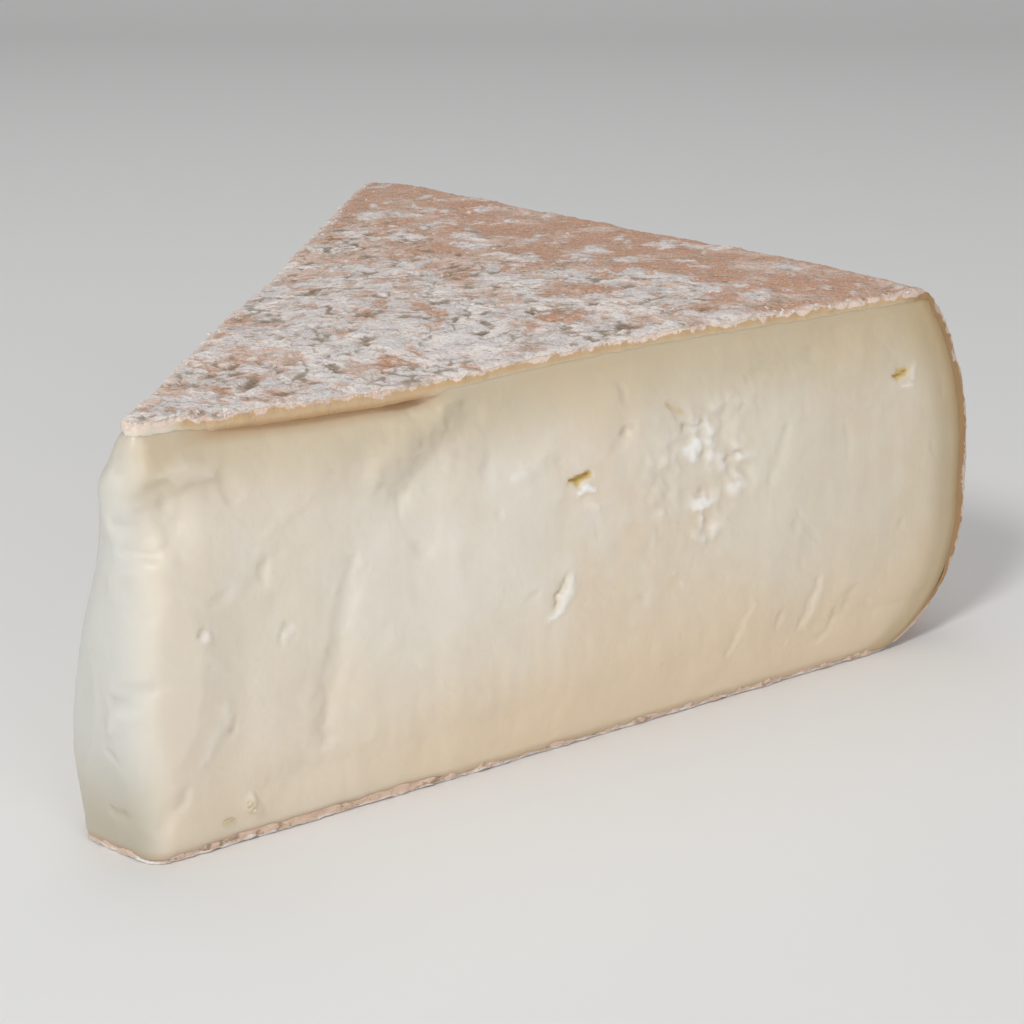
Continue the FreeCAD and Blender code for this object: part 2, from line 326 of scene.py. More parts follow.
def makeObject(name, points, faces, attributes=()):
    mesh = bpy.data.meshes.new(name)
    mesh.from_pydata(toRow(points).tolist(), [], faces)
    for key, values in attributes:
        layer = mesh.attributes.new(key, "FLOAT", "POINT")
        layer.data.foreach_set("value", np.asarray(values, dtype=np.float32))
    mesh.polygons.foreach_set("use_smooth", np.ones(len(mesh.polygons), dtype=bool))
    mesh.update()
    return place(name, mesh)


def vertexNormals(points, faces):
    normals = np.zeros_like(points)
    for size in (3, 4):
        block = np.array([face for face in faces if len(face) == size])
        if not len(block):
            continue
        spots = [points[block[:, n]] for n in range(size)]
        diagonal = spots[2] - spots[0]
        if size == 4:
            across = np.cross(diagonal, spots[3] - spots[1])
        else:
            across = np.cross(spots[1] - spots[0], diagonal)
        for corner in range(size):
            np.add.at(normals, block[:, corner], across)
    return normals / np.maximum(np.linalg.norm(normals, axis=1), 1e-12)[:, None]


def sharpenLoop(mesh, loop):
    # A crisp edge where the skin ends at the cut.
    ends = np.zeros(len(mesh.edges) * 2, dtype=np.int64)
    mesh.edges.foreach_get("vertices", ends)
    ends = np.sort(ends.reshape(-1, 2), axis=1)
    pairs = np.sort(np.column_stack([loop, np.roll(loop, -1)]), axis=1)
    size = len(mesh.vertices)
    sharp = np.isin(ends[:, 0] * size + ends[:, 1], pairs[:, 0] * size + pairs[:, 1])
    layer = mesh.attributes.get("sharp_edge") or mesh.attributes.new("sharp_edge", "BOOLEAN", "EDGE")
    before = np.zeros(len(sharp), dtype=bool)
    layer.data.foreach_get("value", before)
    layer.data.foreach_set("value", sharp | before)


def stitch(first, second):
    # A band of four-sided faces between two closed loops of points.
    ahead, nextAhead = np.roll(first, -1), np.roll(second, -1)
    return [(int(a), int(b), int(c), int(d)) for a, b, c, d in zip(first, ahead, nextAhead, second)]


def checkClosed(piece):
    work = bmesh.new()
    work.from_mesh(piece.data)
    loose = sum(1 for edge in work.edges if len(edge.link_faces) != 2)
    triangles = sum(len(face.verts) - 2 for face in work.faces)
    volume = work.calc_volume(signed=True) * 1e6
    work.free()
    print(piece.name, "open edges", loose, "volume", round(volume, 1), "cm3, triangles", triangles)


def srgb(*shades):
    # A colour as a screen shows it, 0 to 255, in the shader's linear numbers.
    shares = [shade / 255 for shade in shades]
    linear = [share / 12.92 if share <= 0.04045 else ((share + 0.055) / 1.055) ** 2.4 for share in shares]
    return (*linear, 1.0)


def addNode(tree, kind, inputs=None, **settings):
    made = tree.nodes.new(kind)
    for key, value in settings.items():
        setattr(made, key, value)
    for key, value in (inputs or {}).items():
        setInput(tree, made.inputs[key], value)
    return made


def setInput(tree, socket, value):
    if isinstance(value, bpy.types.NodeSocket):
        tree.links.new(value, socket)
    else:
        socket.default_value = value


def mixColour(tree, factor, a, b):
    # Inputs 6 and 7 and output 2 are the Mix node's colours.
    return addNode(tree, "ShaderNodeMix", {0: factor, 6: a, 7: b}, data_type="RGBA").outputs[2]


def maths(tree, operation, a, b=0.0, clamp=False):
    return addNode(tree, "ShaderNodeMath", {0: a, 1: b}, operation=operation, use_clamp=clamp).outputs[0]


def plus(tree, a, b, clamp=False):
    return maths(tree, "ADD", a, b, clamp)


def minus(tree, a, b):
    return maths(tree, "SUBTRACT", a, b)


def times(tree, a, b, clamp=False):
    return maths(tree, "MULTIPLY", a, b, clamp)


def weighted(tree, *parts):
    # The sum of some values, each times its weight.
    total = times(tree, *parts[0])
    for part in parts[1:]:
        total = plus(tree, total, times(tree, *part))
    return total


def between(tree, value, low, high, toLow=0.0, toHigh=1.0):
    inputs = {"Value": value, "From Min": low, "From Max": high, "To Min": toLow, "To Max": toHigh}
    return addNode(tree, "ShaderNodeMapRange", inputs, interpolation_type="SMOOTHSTEP").outputs[0]


def addCoats(tree, base, coats):
    # Each coat is a colour, the value that places it, where it starts, where it is full, and its most.
    for colour, value, start, full, most in coats:
        base = mixColour(tree, between(tree, value, start, full, 0.0, most), base, colour)
    return base


def attribute(tree, name):
    return addNode(tree, "ShaderNodeAttribute", attribute_name=name).outputs["Fac"]


def millimetres(tree, stretch=(1000.0, 1000.0, 1000.0)):
    where = addNode(tree, "ShaderNodeTexCoord").outputs["Object"]
    return addNode(tree, "ShaderNodeMapping", {"Vector": where, "Scale": stretch}).outputs[0]


def makeGroup(name, given, results, build):
    # One shader node group: given lists its inputs with their own values, results its outputs.
    group = bpy.data.node_groups.new(name, "ShaderNodeTree")
    for key, kind, value in given:
        group.interface.new_socket(key, in_out="INPUT", socket_type="NodeSocket" + kind).default_value = value
    for key, kind in results:
        group.interface.new_socket(key, in_out="OUTPUT", socket_type="NodeSocket" + kind)
    start = group.nodes.new("NodeGroupInput")
    end = group.nodes.new("NodeGroupOutput")
    for key, value in build(group, start.outputs).items():
        group.links.new(value, end.inputs[key])
    return group


def grainNodes(tree, given):
    inputs = {key: given[key] for key in ("Vector", "Detail", "Roughness", "Distortion")}
    inputs["Scale"] = maths(tree, "DIVIDE", 1.0, given["Size"])
    return {"Grain": addNode(tree, "ShaderNodeTexNoise", inputs).outputs["Fac"]}


grainInputs = (
    ("Vector", "Vector", (0.0, 0.0, 0.0)), ("Size", "Float", 1.0), ("Detail", "Float", 3.0),
    ("Roughness", "Float", 0.55), ("Distortion", "Float", 0.0),
)
grainGroup = makeGroup("grain", grainInputs, [("Grain", "Float")], grainNodes)
surfaceResults = (("Color", "Color"), ("Height", "Float"), ("Roughness", "Float"))


def grain(tree, vector, size, detail=3.0, roughness=0.55, distortion=0.0):
    values = {"Vector": vector, "Size": size, "Detail": detail}
    values.update({"Roughness": roughness, "Distortion": distortion})
    return addNode(tree, "ShaderNodeGroup", values, node_tree=grainGroup).outputs["Grain"]


def plainMaterial(name, settings):
    material = bpy.data.materials.new(name)
    material.use_nodes = True
    shader = material.node_tree.nodes["Principled BSDF"]
    for key, value in settings.items():
        shader.inputs[key].default_value = value
    return material, shader


def makeMaterial(name, group, settings, bumpLooks, colours=None):
    # The shader's own fixed values, a surface group, and a bump of that distance and strength.
    material, shader = plainMaterial(name, settings)
    tree = material.node_tree
    surface = addNode(tree, "ShaderNodeGroup", colours, node_tree=group).outputs
    inputs = {"Height": surface["Height"], "Distance": bumpLooks[0], "Strength": bumpLooks[1]}
    tree.links.new(surface["Color"], shader.inputs["Base Color"])
    tree.links.new(surface["Roughness"], shader.inputs["Roughness"])
    tree.links.new(addNode(tree, "ShaderNodeBump", inputs).outputs["Normal"], shader.inputs["Normal"])
    return material


rindLooks = dict(
    # Where the rows down the side start and end, the heights of the cut rims, and the point spacing.
    shoulderRow=9.5, footRow=14.5, topCut=38.6, bottomCut=0.5, cutStep=0.34, profileStep=0.5,
    outerGrid=dict(stations=196, cornerStations=36, topSpacing=0.36, bottomSpacing=0.75),
    innerGrid=dict(stations=24, cornerStations=8, topSpacing=4.0, bottomSpacing=4.0),
    stripShares=(0.1, 0.32, 0.6, 0.86), bottomThickness=0.55,
    wrinkleTurn=math.radians(-37.8), wrinkleStretch=(0.0026, 0.001, 0.001),
    # Some of these paint shade: the deep amber where the paste has drawn back, in part the side's tan, and
    # the olive and dark where they follow the hollows.
    colours=dict(
        pink=srgb(224, 195, 179), orange=srgb(203, 152, 122), tan=srgb(194, 164, 138),
        blotch=srgb(194, 152, 126), bloom=srgb(248, 242, 237), blue=srgb(221, 219, 219),
        olive=srgb(142, 122, 98), dark=srgb(106, 88, 72), lip=srgb(240, 226, 214),
        section=srgb(216, 199, 170), amber=srgb(204, 172, 132), deep=srgb(188, 148, 104),
        side=srgb(170, 134, 92), tip=srgb(226, 216, 198), under=srgb(220, 192, 172),
    ),
    bump=(0.0004, 0.9),
    finish={
        "Subsurface Weight": 0.18, "Subsurface Radius": (1.0, 0.5, 0.3), "Subsurface Scale": 0.0015,
        "Specular IOR Level": 0.35,
    },
)


def sideProfile():
    # Inset and height from the shoulder row, down over the belly, to the foot row.
    looks, radius, foot, step = rindLooks, shoulderRadius(), wedge["footRadius"], rindLooks["profileStep"]
    start = math.acos((radius - looks["shoulderRow"]) / radius)
    upper = np.linspace(start, 0, int(radius * start / step))
    lower = np.linspace(0, math.pi / 2, int(foot * math.pi / 2 / step))
    straight = np.linspace(wedge["bellyHeight"], foot, int((wedge["bellyHeight"] - foot) / step))[1:-1]
    insets = [radius - radius * np.cos(upper), straight * 0, foot - foot * np.cos(lower), [looks["footRow"]]]
    heights = [wedge["bellyHeight"] + radius * np.sin(upper), straight, foot - foot * np.sin(lower), [0.0]]
    return np.concatenate(insets), np.concatenate(heights)


def insetCurve(inset, distance):
    # A point along the side, distance from the upright cut, at an inset from the belly.
    radius = wedge["cornerRadius"] - inset
    straight = cornerCentre[1]
    arc = radius * math.pi / 2
    turned = np.clip((distance - straight) / radius, 0, math.pi / 2)
    beyond = np.maximum(distance - straight - arc, 0)
    x = cornerCentre[0] + radius * np.cos(turned) - beyond
    y = np.minimum(distance, straight) + radius * np.sin(turned)
    return np.stack([x, y], axis=-1)


def sideEnd(inset, z):
    # How far along that inset curve the leaning cut meets it, at height z.
    along = np.linspace(0, 140, 1401)
    outside = insetCurve(inset, along) @ leftNormal - leftShift(z)
    last = np.argmax(outside > 0)
    share = -outside[last - 1] / (outside[last] - outside[last - 1])
    return along[last - 1] + share * (along[last] - along[last - 1])


def skin(stations, cornerStations, topSpacing, bottomSpacing):
    # The outer skin, with the loop of points along its cuts: a grid over the side, and triangles
    # over the top and the bottom.
    looks = rindLooks
    insets, heights = sideProfile()
    bendFrom = cornerCentre[1] - 3
    rows = []
    for inset, height in zip(insets, heights):
        end = sideEnd(inset, min(max(height, looks["bottomCut"]), looks["topCut"]))
        straight = np.linspace(0, bendFrom, stations)
        bend = np.linspace(bendFrom, end, cornerStations + 1)[1:]
        rows.append(insetCurve(inset, np.concatenate([straight, bend])))
    count = len(rows[0])
    plan = np.concatenate(rows)
    z = np.repeat(heights, count)
    top = topHeight(plan[:, 0], plan[:, 1])
    z = np.where(z > wedge["bellyHeight"], smoothMin(z, top, wedge["shoulderBlend"]), z)
    points = [np.column_stack([plan, z])]
    faces = []
    for r in range(len(rows) - 1):
        for s in range(count - 1):
            a = r * count + s
            faces.append((a, a + count, a + count + 1, a + 1))
    total = len(points[0])
    loops = []
    flats = (
        (0, looks["topCut"], wedge["noseRound"], topSpacing),
        (len(rows) - 1, looks["bottomCut"], wedge["pasteNoseRound"], bottomSpacing),
    )
    for row, cut, noseRound, spacing in flats:
        onTop = row == 0
        rowPlan = rows[row]
        path, _ = cutPath(cut, noseRound, rowPlan[0][0], rowPlan[-1] @ leftDirection, looks["cutStep"])
        inner = path[1:-1]
        rowIndex = list(range(row * count, (row + 1) * count))
        rim = np.concatenate([inner, rowPlan[::-1]])
        every, patch = fillPatch(rim, spacing)
        onPath = np.arange(total, total + len(inner))
        filling = np.arange(total + len(inner), total + len(every) - count)
        index = np.concatenate([onPath, rowIndex[::-1], filling])
        fresh = np.concatenate([every[: len(inner)], every[len(rim):]])
        height = skinTop(fresh[:, 0], fresh[:, 1]) if onTop else np.zeros(len(fresh))
        points.append(np.column_stack([fresh, height]))
        for face in patch:
            mapped = tuple(int(index[i]) for i in face)
            faces.append(mapped if onTop else mapped[::-1])
        loops.append([rowIndex[0]] + onPath.tolist() + [rowIndex[-1]])
        total += len(fresh)
    leftColumn = [r * count + count - 1 for r in range(len(rows))]
    rightColumn = [r * count for r in range(len(rows))]
    loop = loops[0] + leftColumn[1:-1] + loops[1][::-1] + rightColumn[1:-1][::-1]
    return np.concatenate(points), faces, loop


def cutFrame(points):
    # Distance inside the nearest cut, and the way out of it.
    plan, z = points[:, :2], points[:, 2]
    inside = np.stack([
        plan[:, 1],
        leftShift(z) - plan @ leftNormal,
        -(plan - np.array([wedge["noseSetback"], 0.0])) @ noseNormal,
    ], axis=1)
    weights = np.exp(-np.clip(inside, -3, 20) / 0.7)
    normals = np.array([[0.0, -1.0], leftNormal, noseNormal])
    out = weights @ normals
    out /= np.linalg.norm(out, axis=1)[:, None]
    return inside.min(axis=1), np.column_stack([out, np.zeros(len(out))])


def rindPattern(p):
    # Relief of the rind's crust over its smooth form, how white and how orange it is, and its hollows.
    warp = np.stack([fractal(p, 7.0, 2, seed) for seed in (11, 12, 13)], axis=1)
    lumps = fractal(p + warp * 1.2, 6.5, 3, 21)
    turned = np.column_stack([p[:, 0] * 0.79 - p[:, 1] * 0.61, p[:, 0] * 0.61 + p[:, 1] * 0.79, p[:, 2]])
    stretched = (turned + warp * 1.4) * np.array([1.05, 0.8, 1.0])
    crust = fractal(stretched, 4.6, 4, 22, 0.72)
    nearTip = smoothStep(78, 56, p[:, 0] + 0.25 * p[:, 1]) * smoothStep(-2, 20, p[:, 0])
    middle = bump(p[:, 0] - 36, p[:, 1] - 14, (30, 24))
    streak = bump(p[:, 0] - 72, p[:, 1] - 22, (9, 20), -20)
    rightward = smoothStep(66, 96, p[:, 0])
    dusted = crust + 0.4 * middle + 0.35 * nearTip + 0.3 * streak - 0.3 - 0.26 * rightward
    bloom = smoothStep(-0.4, 0.45, dusted)
    near, second, own = cells(stretched, 2.1, 31)
    deep = 0.2 + 0.8 * smoothStep(-0.15, 0.4, noise(p + warp, 5.0, 32))
    creases = (1 - smoothStep(0.0, 0.24, second - near)) * deep
    small, smallNext, smallOwn = cells(stretched * 1.1 + warp, 1.05, 33)
    smallCreases = (1 - smoothStep(0.0, 0.3, smallNext - small)) * (1 - 0.6 * deep)
    fine = fractal(p + warp, 0.95, 2, 41)
    pits = smoothStep(0.3, 0.7, noise(stretched, 1.9, 51))
    drawn = noise((p + warp * 0.5) * np.array([1.0, 0.3, 1.0]), 1.0, 52) * smoothStep(58, 80, p[:, 0])
    smooth = 1 - 0.55 * smoothStep(64, 84, p[:, 0])
    relief = 0.14 * lumps + smooth * (0.1 * (own - 0.5) + 0.08 * (smallOwn - 0.5) + 0.08 * fine)
    relief = relief - smooth * (0.19 * creases + 0.17 * pits + 0.1 * smallCreases)
    relief = relief + 0.1 * (bloom - 0.5) + 0.07 * drawn
    # hollow drives painted shade: olive and dark brown in the creases, pits and low ground between the lumps.
    hollow = smooth * (0.62 * creases + 0.6 * pits + 0.4 * smallCreases) - 0.25 * lumps
    orangeness = fractal(p + warp, 6.0, 3, 23) + 0.5 * smoothStep(52, 88, p[:, 0]) - 0.1
    return relief, bloom, smoothStep(-0.3, 0.55, orangeness), hollow


def roughenSkin(base, faces, relief):
    # Lays the relief on the skin. Near the cut small flaps of crust hang over it, and the rim droops.
    normals = vertexNormals(base, faces)
    strength = np.where(base[:, 2] < 0.02, 0.0, 0.35 + 0.65 * smoothStep(0.0, 2.5, base[:, 2]))
    inside, out = cutFrame(base)
    nearCut = np.exp(-((np.maximum(inside, 0) / 0.9) ** 2))
    rimmed = np.exp(-((np.maximum(inside, 0) / 0.5) ** 2))
    moved = base + normals * (relief * strength * (1 - 0.4 * nearCut))[:, None]
    flaps = smoothStep(-0.1, 0.5, noise(base, 1.5, 62)) * smoothStep(-0.35, 0.3, noise(base, 6.0, 66))
    ragged = 0.16 * noise(base, 5.0, 61) + 0.24 * (flaps - 0.3) + 0.14 * noise(base, 0.8, 63) - 0.05
    quiet = 1 - 0.4 * smoothStep(2.0, 12.0, base[:, 1])
    moved = moved + out * (nearCut * ragged * quiet)[:, None]
    droop = 0.14 + 0.28 * flaps + 0.12 * noise(base, 0.9, 64) + 0.1 * noise(base, 3.2, 65)
    droop = droop * np.where(base[:, 2] < 2, 0.7, 1.0)
    moved = moved - normals * (rimmed * np.clip(droop, 0, 0.6))[:, None]
    moved[:, 2] = np.maximum(moved[:, 2], 0.0)
    return moved, inside, out


def innerSkin():
    # The hidden inside of the rind, a thickness below its smooth outer form.
    inner, faces, loop = skin(**rindLooks["innerGrid"])
    low = smoothStep(12.0, 2.0, inner[:, 2])
    thickness = wedge["rind"] * (1.05 + 0.08 * noise(inner, 5.0, 71) + 0.05 * noise(inner, 1.6, 72))
    thickness = thickness * (1 - (1 - rindLooks["bottomThickness"]) * low)
    thickness = thickness * (1 + 0.45 * low * noise(inner, 2.4, 73))
    return inner - vertexNormals(inner, faces) * thickness[:, None], faces, loop


def sectionRow(outerEdge, innerEdge, out, share):
    # One row of points over the rind's own cut face, a share of the way in.
    at = outerEdge * (1 - share) + innerEdge * share
    rough = 1 + 4.0 * smoothStep(4.0, 1.0, at[:, 2])
    wobble = rough * (0.04 * noise(at, 2.4, 81) + 0.04 * noise(at, 0.8, 82))
    wobble = wobble + 0.04 * math.sin(math.pi * share)
    at = at + out * wobble[:, None]
    at[:, 2] = np.maximum(at[:, 2], 0.02)
    return at


def buildRind():
    base, outerFaces, outerLoop = skin(**rindLooks["outerGrid"])
    relief, bloom, orange, hollow = rindPattern(base)
    outer, inside, out = roughenSkin(base, outerFaces, relief)
    frayed = smoothStep(1.3, 0.2, inside) * smoothStep(-0.2, 0.4, noise(base, 4.0, 67)) * (base[:, 2] > 30)
    frayed = frayed + 0.012 * (base[:, 2] > 34)
    inner, innerFaces, innerLoop = innerSkin()

    # The rows copy the inner loop's points, which lie beside the outer ones one by one.
    points, faces, section = [outer], list(outerFaces), [np.zeros(len(outer))]
    total, last = len(outer), np.array(outerLoop)
    for share in rindLooks["stripShares"]:
        points.append(sectionRow(outer[outerLoop], inner[innerLoop], out[outerLoop], share))
        ring = np.arange(total, total + len(outerLoop))
        total += len(ring)
        faces += stitch(last, ring)
        section.append(np.full(len(ring), share))
        last = ring
    points.append(inner)
    ring = np.array(innerLoop) + total
    faces += stitch(last, ring)
    faces += [tuple(i + total for i in face[::-1]) for face in innerFaces]
    section.append(np.ones(len(inner)))
    points = np.concatenate(points)

    # On the cut face, tone is over 0 where the paste has drawn back, which places a painted shadow,
    # and under 0 at the tip; hollow marks the side, whose darker tan is partly painted shade, and bloom marks
    # the foot.
    rest = points[len(outer):]
    high = rest[:, 2] > 30
    tone = underLip(rest[:, 0]) * (rest[:, 1] < 3) * high - smoothStep(10.0, 3.0, rest[:, 0]) * high
    onSide = smoothStep(6.0, 2.0, sideInset(rest[:, 0], rest[:, 1]) - profileInset(rest[:, 2]))
    low = smoothStep(5.0, 1.5, rest[:, 2])
    made = makeObject("rind", points, faces, (
        ("section", np.concatenate(section)), ("fromCut", np.clip(cutFrame(points)[0], 0, 20)),
        ("hollow", np.concatenate([hollow, onSide])), ("bloom", np.concatenate([bloom, low])),
        ("tone", np.concatenate([orange, tone])), ("crumbly", np.concatenate([frayed, 0 * low])),
    ))
    for loop in (np.array(outerLoop), ring):
        sharpenLoop(made.data, loop)
    return made


def rindSurface(tree, given):
    c = rindLooks["colours"]
    at = millimetres(tree)
    where = addNode(tree, "ShaderNodeTexCoord").outputs["Object"]
    turn = (0.0, 0.0, rindLooks["wrinkleTurn"])
    drawn = {"Vector": where, "Rotation": turn, "Scale": rindLooks["wrinkleStretch"]}
    across = addNode(tree, "ShaderNodeMapping", drawn, vector_type="TEXTURE").outputs[0]
    patch = grain(tree, at, 3.2, 4.0, 0.66, 0.9)
    blotch = grain(tree, at, 4.6, 3.0, 0.6, 0.6)
    fine = grain(tree, at, 0.9, 3.0, 0.7)
    finer = grain(tree, at, 0.34, 3.0, 0.72)
    wrinkle = grain(tree, across, 0.8, 2.0, 0.6)
    section, tone, bloom = attribute(tree, "section"), attribute(tree, "tone"), attribute(tree, "bloom")
    ragged = times(tree, minus(tree, fine, 0.5), 0.8)
    hollow = plus(tree, attribute(tree, "hollow"), ragged)
    fromCut = plus(tree, attribute(tree, "fromCut"), times(tree, minus(tree, patch, 0.5), 4.0))
    crust = between(tree, plus(tree, bloom, times(tree, ragged, 2.2)), 0.05, 0.95)
    white = mixColour(tree, between(tree, patch, 0.4, 0.56), c["bloom"], c["blue"])

    base = mixColour(tree, plus(tree, tone, ragged, True), c["pink"], c["orange"])
    base = addCoats(tree, base, [(c["tan"], patch, 0.5, 0.64, 0.7)])
    base = mixColour(tree, times(tree, crust, 0.8), base, white)
    base = addCoats(tree, base, (
        (c["blotch"], blotch, 0.56, 0.68, 0.6),
        (c["olive"], finer, 0.56, 0.66, 0.45),
        (c["olive"], wrinkle, 0.44, 0.34, 0.55),
        (c["lip"], finer, 0.46, 0.36, 0.6),
        # Painted shade in the creases, pits and low ground between lumps.
        (c["olive"], hollow, 0.3, 0.75, 0.75),
        (c["dark"], hollow, 0.7, 1.2, 0.6),
        (c["lip"], fromCut, 1.1, 0.1, 0.55),
    ))

    # The cut face: section runs from 0 at the skin to 1 at the paste, and the crust's teeth reach in.
    teeth = minus(tree, grain(tree, at, 1.5, 3.0, 0.6), 0.5)
    depth = minus(tree, section, times(tree, teeth, 1.7))
    depth = plus(tree, depth, times(tree, maths(tree, "MINIMUM", tone, 0.0), 0.35))
    grade = between(tree, plus(tree, section, times(tree, ragged, 0.4)), 0.3, 0.95)
    cut = mixColour(tree, grade, c["amber"], c["section"])
    # Painted shadow: deep amber along the lower edge of the rind's cut where the paste has drawn back beneath
    # it.
    cut = mixColour(tree, times(tree, tone, between(tree, section, 0.45, 1.0), True), cut, c["deep"])
    cut = addCoats(tree, cut, [(c["tip"], tone, -0.1, -0.8, 1.0)])
    # A darker tan over the side's cut face: partly the rind's own colour, partly painted shade.
    cut = mixColour(tree, attribute(tree, "hollow"), cut, c["side"])
    cut = mixColour(tree, bloom, cut, c["under"])
    soil = times(tree, bloom, between(tree, fine, 0.52, 0.66, 0.0, 0.75))
    cut = mixColour(tree, soil, cut, c["olive"])
    onCut = times(tree, between(tree, depth, 0.16, 0.3), between(tree, section, 0.02, 0.1))
    base = mixColour(tree, onCut, base, cut)

    # The height is centred before it fades on the cut face, so that no step shows there.
    height = weighted(tree, (fine, 0.9), (finer, 0.5), (crust, 0.2), (wrinkle, 0.35))
    rough = plus(tree, times(tree, between(tree, section, 0.3, 0.02), 0.75), 0.25)
    rough = maths(tree, "MAXIMUM", rough, times(tree, bloom, 0.6))
    height = times(tree, minus(tree, height, 0.95), rough)
    return {"Color": base, "Height": height, "Roughness": between(tree, crust, 0.0, 1.0, 0.55, 0.85)}


pasteLooks = dict(
    # The paste's forms: its lip, its swell, the slump of the nose and how it tucks under the rind.
    lip=0.22, swell=0.75, fullness=0.5, noseSwell=1.5, noseReach=10.0, slumpPower=1.8, under=0.35, low=0.75,
    sideFade=5.0, topFade=5.0, hollowFade=3.0, coverFade=1.4, tuck=0.3, lap=0.06, crown=0.4, crownReach=6.0,
    closing=(0.03, 0.25), closingRise=0.5, hidden=0.15, noseBlend=2.5,
    faceStations=350, noseStations=22, leftStations=210, backStations=60, rows=130, coverRows=3,
    # Some of these paint light and shade: the nose's cool grey-white, the shade at its foot, the darker
    # yellow used towards the right and under the rind, and in part the amber and the hole.
    colours=dict(
        ivory=srgb(229, 222, 209), warm=srgb(224, 204, 176), cool=srgb(237, 235, 228),
        cream=srgb(202, 184, 150), amber=srgb(196, 156, 112), side=srgb(192, 169, 128),
        rim=srgb(170, 136, 90), curd=srgb(246, 244, 240), eye=srgb(216, 190, 128),
        hole=srgb(180, 146, 80), nose=srgb(205, 206, 200), shade=srgb(190, 181, 161),
    ),
    bump=(0.0003, 0.35),
    finish={
        "Subsurface Weight": 0.5, "Subsurface Radius": (1.0, 0.82, 0.62), "Subsurface Scale": 0.003,
        "Coat Weight": 0.12, "Coat Roughness": 0.25,
    },
)
# Forms of the cuts: distance and height of the middle, half widths, tilt and depth.
uprightForms = [
    (21.4, 36.2, 11.0, 1.3, 0, -0.7), (29.1, 36.6, 2.4, 1.5, 0, -0.9),
    (19.4, 32.4, 12.0, 4.0, 14, 0.6), (39.8, 32.0, 8.0, 5.0, 35, -0.55),
    (5.1, 29.6, 1.5, 3.4, 4, -0.8), (0.0, 32.8, 3.5, 4.5, 0, 0.6),
    (1.5, 35.4, 4.5, 2.6, 0, 0.7), (65.3, 24.8, 6.5, 6.0, 0, -0.5),
    (20.4, 15.2, 2.6, 9.0, -12, -0.35), (56.1, 6.8, 32.0, 4.0, 0, 0.4),
    (9.2, 11.2, 3.6, 6.0, -25, -0.3),
]
leaningForms = [
    (0.0, 32.8, 3.5, 4.5, 0, 0.6), (0.5, 35.4, 5.0, 2.6, 0, 0.8),
    (82.5, 36.2, 14.0, 1.3, 0, -0.8), (63.0, 22.0, 18.0, 8.0, 20, 0.5),
    (111.0, 24.0, 9.0, 7.0, -30, -0.6), (52.5, 8.0, 28.0, 4.0, 0, 0.4),
]


def pasteOut(forms, along, z, lipped):
    # How far the paste stands out of its flat cut, at a distance along it and a height.
    looks = pasteLooks
    share = np.clip((z - looks["low"]) / (pasteHigh - looks["low"]), 0, 1)
    slump = looks["noseSwell"] * np.sin(math.pi * (1 - share) ** looks["slumpPower"])
    out = looks["swell"] + slump * np.exp(-((along / looks["noseReach"]) ** 2))
    hollows = np.zeros_like(out)
    for middle, height, halfAlong, halfUp, tilt, depth in forms:
        change = depth * bump(along - middle, z - height, (halfAlong, halfUp), tilt)
        if depth > 0:
            out = out + change
        else:
            hollows = hollows + change
    fromTop = (1 - share) * (pasteHigh - looks["low"])
    flush = lipped + (1 - lipped) * smoothStep(-0.5, looks["topFade"], fromTop)
    hollows = hollows * (lipped + (1 - lipped) * smoothStep(0.0, looks["hollowFade"], fromTop))
    edge = looks["lip"] * lipped - looks["lap"] * (1 - lipped)
    crown = looks["crown"] * np.exp(-((along / looks["crownReach"]) ** 2))
    crown = crown * smoothStep(-0.2, 1.2, fromTop) * smoothStep(9.0, 2.0, fromTop)
    return np.sin(math.pi * share) ** looks["fullness"] * out * flush + hollows + crown - edge


def pasteRow(z):
    # One row of the paste in plan: the upright cut from the side to the tip, the blunt end, the
    # leaning cut, and then the hidden back, with the way out and the distance along each cut.
    looks = pasteLooks
    inset = profileInset(z) + wedge["rind"] - looks["tuck"]
    (rightArc, rightNormals), (leftArc, leftNormals) = noseArcs(z, wedge["pasteNoseRound"], 8)
    end = sideEnd(inset, z)
    farLeft = insetCurve(inset, end)
    share = np.linspace(0, 1, looks["faceStations"])[:, None]
    right = np.array([wedge["sideReach"] - inset, 0.0]) * (1 - share) + rightArc[0] * share
    across = np.linspace(0, 1, looks["noseStations"])[1:-1, None]
    front = rightArc[-1] * (1 - across) + leftArc[0] * across
    share = np.linspace(0, 1, looks["leftStations"])[:, None]
    left = leftArc[-1] * (1 - share) + farLeft * share
    back = insetCurve(inset, np.linspace(end, 0, looks["backStations"])[1:-1])
    plan = np.concatenate([right, rightArc[1:], front, leftArc, left[1:], back])
    normals = np.concatenate([
        np.repeat([[0.0, -1.0]], len(right), axis=0), rightNormals[1:],
        np.repeat(noseNormal[None], len(front), axis=0), leftNormals,
        np.repeat(leftNormal[None], len(left) - 1, axis=0), np.zeros((len(back), 2)),
    ])
    onRight = len(right) + len(rightArc) - 1
    leftAlong = left[1:] @ leftDirection - leftArc[-1] @ leftDirection
    along = np.concatenate([
        plan[:onRight, 0], np.full(len(front), plan[onRight - 1, 0]),
        np.zeros(len(leftArc)), leftAlong, np.zeros(len(back)),
    ])
    face = np.repeat([0, 1, 2, 3], [onRight, len(front), len(leftArc) + len(leftAlong), len(back)])
    steps = np.linalg.norm(np.diff(plan, axis=0), axis=1)
    around = plan[0, 0] - np.concatenate([[0.0], np.cumsum(steps)])
    middle = around[face == 1].mean()
    leftward = smoothStep(middle + looks["noseBlend"], middle - looks["noseBlend"], around)
    inner = np.where(face == 0, plan[0, 0] - along, np.where(face == 2, leftAlong[-1] - along, 99.0))
    return plan, normals, along, face, around, inner - looks["tuck"], leftward


factNames = ("around", "face", "fromTop", "fromFoot", "fromSide", "lipped", "nose")


